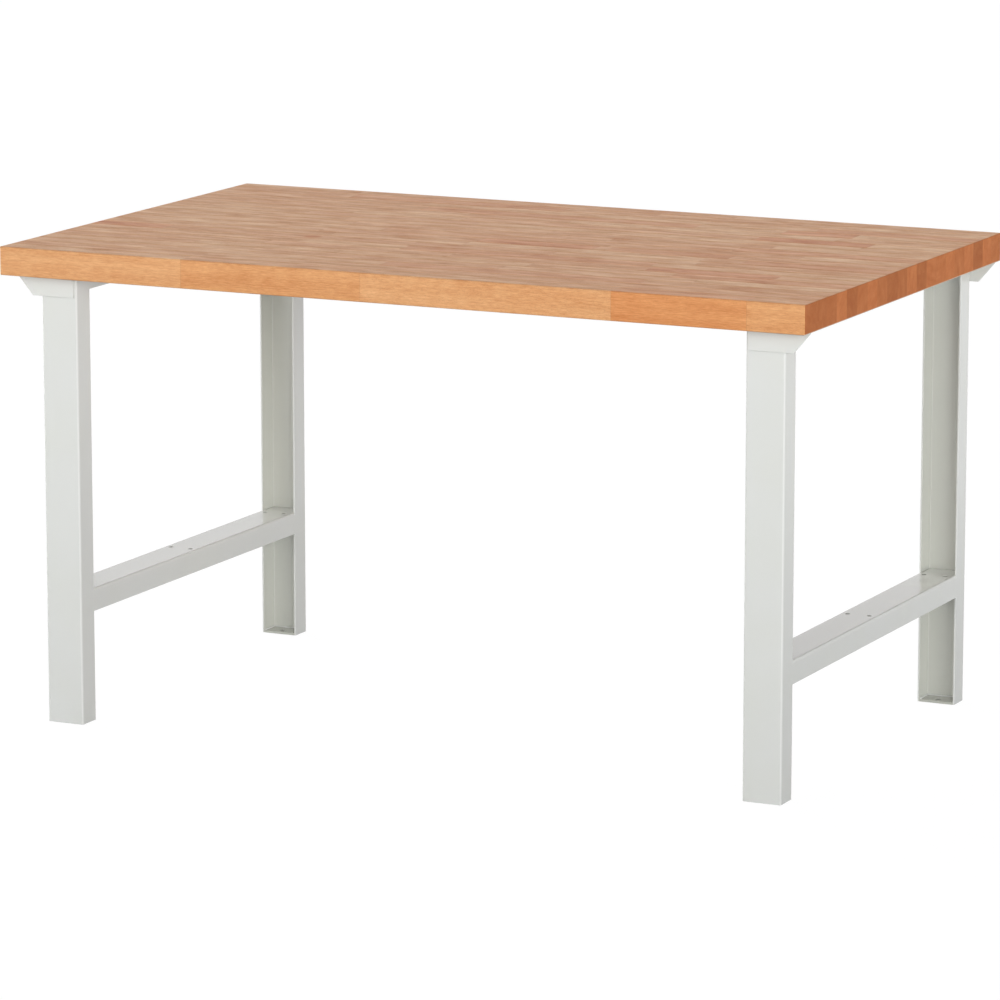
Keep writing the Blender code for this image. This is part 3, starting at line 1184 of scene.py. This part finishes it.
    def rail(self) -> Workpiece:
        """Model the low side rail with its three pairs of holes.

        Returns:
            The rail.
        """
        piece = self.cross_channel(f"{self.side.label}_side_rail", "rail")
        low, high = self.box("rail")
        front, back = (self.leg_line(end) for end in End)
        centre = (low.x + high.x) / 2
        rows = (front + self.rail_hole_setback, (front + back) / 2, back - self.rail_hole_setback)
        pair = (centre - self.rail_hole_spacing / 2, centre + self.rail_hole_spacing / 2)
        places = [Vector((x, row, high.z)) for row in rows for x in pair]
        piece.drill(places, self.rail_hole, 4 * self.sheet, self.edge)
        return piece

    def carrier(self) -> Workpiece:
        """Model the angle that the top lies on, drilled for the wood screws.

        Returns:
            The carrier.
        """
        piece = self.cross_channel(f"{self.side.label}_top_carrier", "carrier")
        level = self.box("carrier")[1].z
        screws = sorted(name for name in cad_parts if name.startswith(self.node("top_screw_")))
        places = [Vector((*middle(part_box(screw)).xy, level)) for screw in screws]
        piece.drill(places, self.carrier_hole, 4 * self.sheet, self.carrier_edge)
        return piece

    def foot_plate(self) -> Workpiece:
        """Model the plate let into the foot of the front leg.

        Returns:
            The plate.
        """
        low, high = self.box("foot_plate", End.FRONT)
        low = low - Vector((SEAT, SEAT, 0))
        high = high + Vector((SEAT, 0, 0))
        piece = Workpiece.block("foot_plate_pattern", low, high)
        with piece.shaping("EDGE"):
            piece.pick_edges(lambda one, other: abs(one.z - other.z) > TOUCH and one.y - low.y < TOUCH)
            bpy.ops.mesh.bevel(offset=self.foot_corner, segments=self.foot_corner_segments, profile=0.5)
        hole = Vector(((low.x + high.x) / 2, high.y - self.foot_hole_setback, (low.z + high.z) / 2))
        piece.drill([hole], self.foot_hole, 4 * (high.z - low.z), self.edge, plate=True)
        return piece

    def wing(self, end: End) -> Workpiece:
        """Model the trapezoid plate across the head of a leg.

        Args:
            end: Which leg.

        Returns:
            The plate.
        """
        low, high = self.box("wing_plate", end)
        if end is End.FRONT:
            high.y += SEAT
        else:
            low.y -= SEAT
        high.z += SEAT
        way = self.side.value
        tip = high.x if way > 0 else low.x
        piece = Workpiece.block(self.node("wing_plate_sheet", end), low, high)
        slope = Vector((self.wing_foot, 0, high.z - self.wing_land - low.z))
        normal = Vector((way * slope.z, 0, -slope.x))
        with piece.shaping("FACE"):
            piece.bisect(Vector((tip, 0, high.z - self.wing_land)), normal, cut_off=True)
        piece.face_out()
        piece.round_edges(self.edge)
        return piece

    def bead_along(self, name: str, start: Vector, stop: Vector, radius: float) -> Workpiece:
        """Model one rippled weld bead between two points.

        Args:
            name: Name of the piece.
            start: Where it starts.
            stop: Where it stops.
            radius: Its radius.

        Returns:
            The bead.
        """
        run = stop - start
        ripples = max(2, round(run.length / self.ripple_pitch))
        piece = Workpiece.rod(name, start, stop, radius, self.bead_sides)
        along = run.normalized()
        pitch = run.length / (2 * ripples)

        def ring(co: Vector) -> int:
            """Return which ring of the bead a point lies on."""
            return round((co - start).dot(along) / pitch)

        def narrowed(share: float) -> Vector:
            """Return the scale that narrows the bead to a share of its width."""
            return Vector([1.0 if abs(part) > 0.5 else share for part in along])

        centre = middle((start, stop))
        with piece.shaping("EDGE"):
            piece.pick_edges(lambda one, other: ring(one) != ring(other))
            bpy.ops.mesh.subdivide(number_cuts=2 * ripples - 1)
        with piece.shaping("VERT"):
            piece.pick_points(lambda co: ring(co) % 2 == 1)
            bpy.ops.transform.resize(value=narrowed(self.waist), center_override=centre)
            piece.pick_points(lambda co: ring(co) in (0, 2 * ripples))
            bpy.ops.transform.resize(value=narrowed(self.tip), center_override=centre)
        piece.activate()
        bpy.ops.object.shade_smooth()
        return piece

    def foot_welds(self, end: End) -> Workpiece:
        """Model the beads that hold a foot plate on its three inner sides.

        Args:
            end: Which leg.

        Returns:
            The beads as one piece.
        """
        low, high = self.box("foot_plate", end)
        web, mouth = (low.y, high.y) if end is End.FRONT else (high.y, low.y)
        mouth += end.value * self.bead_setback
        corners = [Vector((x, web, high.z)) for x in (low.x, high.x)]
        starts = [Vector((x, mouth, high.z)) for x in (low.x, high.x)]
        sides = [self.bead_along("side_bead", *run, self.bead) for run in zip(starts, corners)]
        across = self.bead_along(self.node("foot_welds", end), *corners, self.bead)
        across.join(sides)
        return across

    def wing_weld(self, end: End) -> Workpiece:
        """Model the fine bead in the corner between a wing plate's inner end and the web.

        Args:
            end: Which leg.

        Returns:
            The bead.
        """
        low, high = self.box("wing_plate", end)
        leg_low, leg_high = self.box("leg", end)
        web = leg_low.y if end is End.FRONT else leg_high.y
        inner = low.x if self.side.value > 0 else high.x
        start = Vector((inner, web, low.z + 2 * self.bead))
        stop = Vector((inner, web, high.z - 2 * self.bead))
        return self.bead_along(self.node("wing_weld", end), start, stop, self.bead / 2)

    def flush_welds(self, part: str) -> Workpiece:
        """Model the ground butt welds where a cross channel's flanges meet the legs.

        Args:
            part: The node's last word, rail or carrier.

        Returns:
            The welds as one piece.
        """
        low, high = self.box(part)
        crown, half = self.weld_crown, self.weld_width / 2
        welds = []
        for line in (self.leg_line(end) for end in End):
            for way in self.flange_sides(part):
                face = high.x if way > 0 else low.x
                left, right = sorted((face + way * crown, face - way * (self.sheet + crown)))
                weld = Workpiece.block(
                    self.node(f"{part}_flush_welds"),
                    Vector((left, line - half, low.z)),
                    Vector((right, line + half, high.z - self.bend)),
                )
                weld.round_edges(crown, 2)
                welds.append(weld)
        welds[0].join(welds[1:])
        return welds[0]


@dataclass
class WoodScrew:
    """Pan-head wood screw driven up through a carrier into the top."""

    head_height: float = 0.004
    head_sides: int = 48
    rim: float = 0.0022
    rim_segments: int = 5
    socket: float = 0.0052
    socket_depth: float = 0.0022
    socket_points: int = 6
    point: float = 0.006
    shank_sides: int = 24
    plain_shank: float = 0.008
    thread_pitch: float = 0.0026
    thread_height: float = 0.0011
    thread_steps: int = 20
    # Shares of the head's radius, of the socket's between its points, and of the shank's at the tip
    core_share: float = 0.34
    socket_waist: float = 0.72
    tip_share: float = 0.08
    head_edge: float = 0.0002
    smooth_below: float = math.radians(30)

    def build_all(self, zinc: bpy.types.Material) -> None:
        """Model one screw and lay a copy at each screw's node.

        Args:
            zinc: The plating.
        """
        nodes = sorted(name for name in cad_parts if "_top_screw_" in name)
        low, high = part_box(nodes[0])
        pattern = self.model(Vector((0, 0, low.z)), high.z - low.z, (high.x - low.x) / 2)
        for node in nodes:
            offset = Vector((*middle(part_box(node)).xy, 0))
            screw = pattern.copy(node.replace("top_screw", "wood_screw"), offset)
            screw.hand_over(zinc, Slot.ZINC, node)
        bpy.data.objects.remove(pattern.thing)

    def model(self, foot: Vector, height: float, head_radius: float) -> Workpiece:
        """Model the screw on the upright axis through the origin.

        Args:
            foot: Lowest point of its axis, in the middle of the head.
            height: Its whole height.
            head_radius: Radius of its head.

        Returns:
            The screw.
        """
        up = Vector((0, 0, 1))
        core = head_radius * self.core_share
        head = Workpiece.rod(
            "screw_pattern", foot, foot + up * self.head_height, head_radius, self.head_sides
        )
        with head.shaping("EDGE"):
            head.pick_edges(lambda one, other: max(one.z, other.z) < foot.z + TOUCH)
            bpy.ops.mesh.bevel(offset=self.rim, segments=self.rim_segments, profile=0.5)
        reach = up * self.socket_depth
        sides = 2 * self.socket_points
        star = Workpiece.rod("socket_cutter", foot - reach, foot + reach, self.socket / 2, sides)
        with star.shaping("VERT"):
            step = math.pi / self.socket_points
            star.pick_points(lambda co: round(math.atan2(co.y, co.x) / step) % 2 == 0)
            bpy.ops.transform.resize(value=(self.socket_waist, self.socket_waist, 1), center_override=foot)
        head.cut_out(star)
        head.round_edges(self.head_edge, 2)

        neck, tip = foot.z + self.head_height, foot.z + height
        shank = Workpiece.rod("screw_shank", up * neck, up * tip, core, self.shank_sides)
        with shank.shaping("VERT"):
            shank.pick_points(lambda co: co.z > tip - TOUCH)
            bpy.ops.transform.translate(value=(0, 0, -self.point))
            shank.pick_points(lambda co: co.z > tip - self.point - TOUCH)
            shank.extrude((0, 0, self.point))
            bpy.ops.transform.resize(value=(self.tip_share, self.tip_share, 1), center_override=foot)
        shank.face_out()
        shank.soften(self.smooth_below)
        head.join([shank, self.thread(neck + self.plain_shank, tip - self.point, core)])
        return head

    def thread(self, start: float, stop: float, core: float) -> Workpiece:
        """Model the thread as one ridge that climbs round the core.

        Args:
            start: Level at which it starts.
            stop: Level at which it ends.
            core: Radius of the core.

        Returns:
            The ridge.
        """
        turns = max(1, round((stop - start) / self.thread_pitch))
        ridge = Workpiece.started(
            "screw_thread",
            bpy.ops.mesh.primitive_circle_add,
            vertices=3,
            radius=self.thread_height,
            fill_type="NOTHING",
            location=(core, 0, start),
            rotation=(math.pi / 2, math.pi / 2, 0),
        )
        ridge.apply(
            "SCREW",
            axis="Z",
            angle=2 * math.pi,
            screw_offset=(stop - start) / turns,
            iterations=turns,
            steps=self.thread_steps,
            render_steps=self.thread_steps,
            use_merge_vertices=True,
            merge_threshold=TOUCH,
        )
        with ridge.shaping("EDGE"):
            bpy.ops.mesh.select_all(action="SELECT")
            bpy.ops.mesh.fill_holes(sides=3)
        ridge.face_out()
        ridge.soften(self.smooth_below)
        return ridge


@dataclass(frozen=True)
class Lamp:
    """One far, soft lamp that lights the whole bench evenly."""

    name: str
    azimuth: float
    elevation: float
    spread: float
    level: float
    distance: float = 5.0

    def place(self) -> None:
        """Hang the lamp. Its level is the brightness that it gives a white card facing it.

        Gloss shows the even studio and not the lamps, so no side of the bench glares.
        """
        light = bpy.data.lights.new(self.name, "SUN")
        light.angle = math.radians(self.spread)
        light.energy = self.level * math.pi
        thing = stand(light, Vector(), self.azimuth, self.elevation, self.distance)
        thing.visible_glossy = False


def stand(
    data: bpy.types.Light | bpy.types.Camera, aim: Vector, azimuth: float, elevation: float, distance: float
) -> bpy.types.Object:
    """Stand a lamp or the camera beside the bench, turned to a point.

    Args:
        data: The lamp or the camera, whose name the object gets.
        aim: The point that it is turned to.
        azimuth: Degrees from the front, towards the right end.
        elevation: Degrees above the horizon.
        distance: How far from the point it stands.

    Returns:
        The object.
    """
    turn, rise = math.radians(azimuth), math.radians(elevation)
    way = Vector((math.sin(turn) * math.cos(rise), -math.cos(turn) * math.cos(rise), math.sin(rise)))
    thing = bpy.data.objects.new(data.name, data)
    bpy.context.scene.collection.objects.link(thing)
    thing.location = aim + way * distance
    thing.rotation_euler = (-way).to_track_quat("-Z", "Y").to_euler()
    return thing


@dataclass
class Studio:
    """White studio: floor, a sky that dims towards the zenith, soft lamps and the camera."""

    aim: Place = (-0.0054, -0.0071, 0.3790)
    azimuth: float = 25.569
    elevation: float = 11.068
    distance: float = 9.4363
    lens: float = 193.552
    sensor: float = 36.0
    clip_end: float = 200.0
    horizon: float = 0.35
    zenith: float = 0.08
    shine_at_zenith: float = 0.35
    floor_albedo: float = 0.25
    floor_shadow: float = 0.16
    floor_white: float = 1.17
    floor_glow: float = 0.35
    # What gloss shows of the floor under the bench, and how much more away from it
    floor_gloss: float = 0.5
    floor_gloss_rise: float = 0.35
    pool: tuple[float, float] = (0.5, 3.5)
    # Between which heights on the sky it dims
    dimming: tuple[float, float] = (0.20, 0.80)
    floor_size: float = 60.0
    floor_level: float = -0.0004
    lamps: tuple[Lamp, ...] = (
        Lamp("key_lamp", 50.0, 3.0, 40.0, 0.72),
        Lamp("front_lamp", 35.0, 3.0, 30.0, 0.30),
        Lamp("left_front_lamp", 310.0, 8.0, 50.0, 0.58),
        Lamp("right_lamp", 105.0, 3.0, 50.0, 0.13),
        Lamp("high_lamp", 20.0, 40.0, 40.0, 0.08),
        Lamp("left_back_lamp", 250.0, 20.0, 50.0, 0.85),
    )

    def build(self) -> None:
        """Set up floor, sky, lamps and camera."""
        self.floor()
        self.world()
        for lamp in self.lamps:
            lamp.place()
            log.info("%s: level %.2f", lamp.name, lamp.level)
        self.camera()
        bpy.context.scene.view_settings.view_transform = "Standard"

    def floor(self) -> None:
        """Lay a white floor that keeps the bench's soft shadow and is clear from below."""
        bpy.ops.object.select_all(action="DESELECT")
        bpy.ops.mesh.primitive_plane_add(size=self.floor_size, location=(0, 0, self.floor_level))
        thing = bpy.context.object
        thing.name = "studio_floor"
        g = Graph.of_material("floor_white")
        pale = (self.floor_albedo, self.floor_albedo, self.floor_albedo, 1.0)
        matt = g.node("ShaderNodeBsdfDiffuse", {}, {"Color": pale})
        glow = g.node("ShaderNodeEmission", {}, {"Strength": self.floor_white})
        camera, gloss, glass = self.seen(g)
        x, y, _ = g.split(g.place())
        away = ((x * x + y * y) ** 0.5).step(*self.pool)
        plain = (camera + glass).least(1.0)
        shine = self.floor_gloss + away * self.floor_gloss_rise
        light = gloss * shine + (1 - gloss) * away * self.floor_glow
        share = plain * (1 - self.floor_shadow) + (1 - plain) * light
        back = g.result("ShaderNodeNewGeometry", output="Backfacing")
        both = g.blend(back, g.blend(share, matt, glow), g.node("ShaderNodeBsdfTransparent"))
        g.node("ShaderNodeOutputMaterial", {}, {"Surface": both.outputs[0]})
        thing.data.materials.append(g.owner)

    def world(self) -> None:
        """Light the scene from a bright horizon under a dimmer zenith, and show plain white behind it."""
        g = Graph(bpy.data.worlds.new("studio_sky"))
        bpy.context.scene.world = g.owner
        rise = g.split(g.result("ShaderNodeTexCoord", output="Generated"))[2].step(*self.dimming)
        light = self.horizon + rise * (self.zenith - self.horizon)
        shine = 1 + rise * (self.shine_at_zenith - 1)
        camera, gloss, glass = self.seen(g)
        plain = (camera + glass).least(1.0)
        strength = plain + (1 - plain) * (gloss * shine + (1 - gloss) * light)
        sky = g.node("ShaderNodeBackground", {}, {"Strength": strength})
        g.node("ShaderNodeOutputWorld", {}, {"Surface": sky.outputs[0]})

    def seen(self, g: Graph) -> tuple[Flow, Flow, Flow]:
        """Return 1 or 0 for rays that show what they hit: to the camera, in gloss, and in glass."""
        outputs = g.node("ShaderNodeLightPath").outputs
        return tuple(Flow(g, outputs[f"Is {kind} Ray"]) for kind in ("Camera", "Glossy", "Transmission"))

    def camera(self) -> None:
        """Place the camera."""
        data = bpy.data.cameras.new("camera")
        data.lens = self.lens
        data.sensor_width = self.sensor
        data.clip_end = self.clip_end
        bpy.context.scene.camera = stand(
            data, Vector(self.aim), self.azimuth, self.elevation, self.distance
        )


def main() -> None:
    """Build the bench and its studio."""
    logging.basicConfig(level=logging.INFO, format="%(message)s")
    Studio().build()
    BlockTop().build(BeechFinish().material())
    coat = PowderCoatFinish().material()
    for side in Side:
        SteelFrame(side).build(coat)
    WoodScrew().build_all(ZincFinish().material())


if __name__ == "__main__":
    main()
